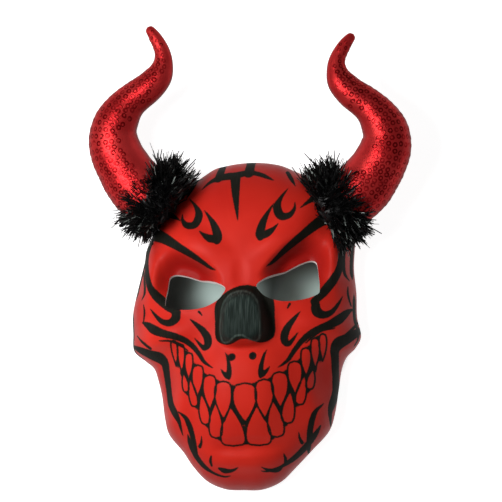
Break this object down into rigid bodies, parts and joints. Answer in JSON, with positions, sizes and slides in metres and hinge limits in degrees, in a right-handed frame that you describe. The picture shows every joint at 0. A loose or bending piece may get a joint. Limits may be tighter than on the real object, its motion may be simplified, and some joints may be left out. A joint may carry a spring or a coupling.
{
  "type": "devil skull mask",
  "caption": "Full-face costume mask of moulded foam with a skull print, open eye and nostril holes, curved stuffed horns and tinsel ruffs round their roots, lying face up.",
  "frame": {"origin": "under the middle of the whole mask's box, on the surface that the shell's rim lies on", "axes": "+Z out of the face, +Y from chin to crown and horns, +X to the right as seen from the front"},
  "size_m": [0.2394, 0.3476, 0.0774],
  "materials": {
    "printed_foam": "red satin print with black flames and teeth on moulded EVA foam, white where cut",
    "sequin_cloth": "stuffed red cloth set with small ring sequins",
    "tinsel_yarn": "spiky black tinsel yarn with some silvery strands"
  },
  "bodies": {
    "root": {"mask_shell": "printed_foam", "horn_left": "sequin_cloth", "horn_right": "sequin_cloth", "ruff_left": "tinsel_yarn", "ruff_right": "tinsel_yarn"}
  },
  "joints": []
}
